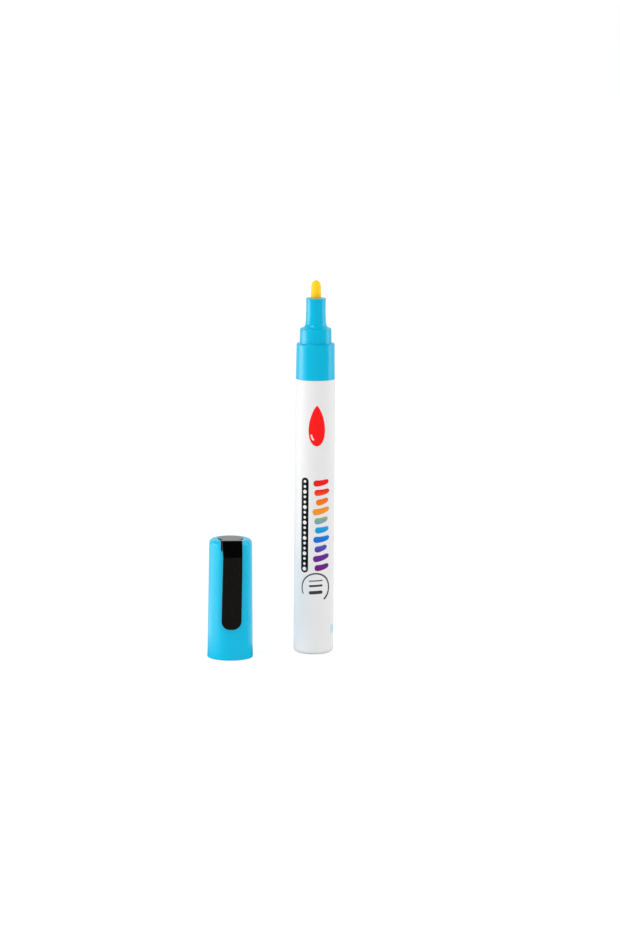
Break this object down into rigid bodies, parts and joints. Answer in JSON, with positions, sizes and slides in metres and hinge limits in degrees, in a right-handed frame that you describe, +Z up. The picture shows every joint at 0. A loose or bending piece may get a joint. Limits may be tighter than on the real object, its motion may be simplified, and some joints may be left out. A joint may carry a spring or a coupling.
{
  "type": "acrylic paint marker",
  "caption": "Pump-action paint marker standing on its foot, with a bullet nib, a stepped front section, a sprung valve inside and its clipped cap taken off beside it.",
  "frame": {"origin": "centre of the marker's flat foot", "axes": "+Z up along the marker towards its nib, -Y towards the side that the clip and the print face, +X to the right; the cap stands at -X"},
  "size_m": [0.0447, 0.0269, 0.1333],
  "materials": {
    "white_barrel": "smooth white moulded tube with a printed band",
    "cyan_gloss": "glossy cyan moulding",
    "nib_fibre": "pressed fibre soaked in yellow paint",
    "natural_plastic": "natural moulded plastic",
    "seal_rubber": "soft black ring",
    "spring_steel": "drawn stainless wire",
    "ball_steel": "polished steel",
    "cyan_satin": "satin cyan moulding",
    "black_gloss": "glossy black moulding",
    "black_satin": "satin black moulding"
  },
  "bodies": {
    "marker": {"barrel": "white_barrel", "front_section": "cyan_gloss", "valve_housing": "natural_plastic", "valve_base": "natural_plastic", "valve_spring": "spring_steel"},
    "nib_plunger": {"nib": "nib_fibre", "valve_stem": "natural_plastic", "valve_seal": "seal_rubber"},
    "ball": {"mixing_ball": "ball_steel"},
    "cap": {"cap_shell": "cyan_satin", "cap_liner": "natural_plastic", "clip_head": "black_gloss"},
    "clip": {"clip_arm": "black_satin"}
  },
  "joints": [
    {"name": "nib_press", "type": "slide", "parent": "marker", "child": "nib_plunger", "axis": [0, 0, -1], "range_m": [0, 0.0015], "stiffness_N_per_m": 600, "springref_m": -0.002, "deforming": ["valve_spring"]},
    {"name": "ball_travel", "type": "slide", "parent": "marker", "child": "ball", "axis": [0, 0, 1], "range_m": [0, 0.082]},
    {"name": "cap_lift", "type": "slide", "parent": "marker", "child": "cap", "axis": [0, 0, 1], "range_m": [0, 0.14]},
    {"name": "clip_flex", "type": "hinge", "parent": "cap", "child": "clip", "pos_m": [-0.02876, -0.01929, 0.0373], "axis": [-0.9969, -0.0785, 0], "range_deg": [0, 5], "stiffness_Nm_per_rad": 0.8}
  ]
}
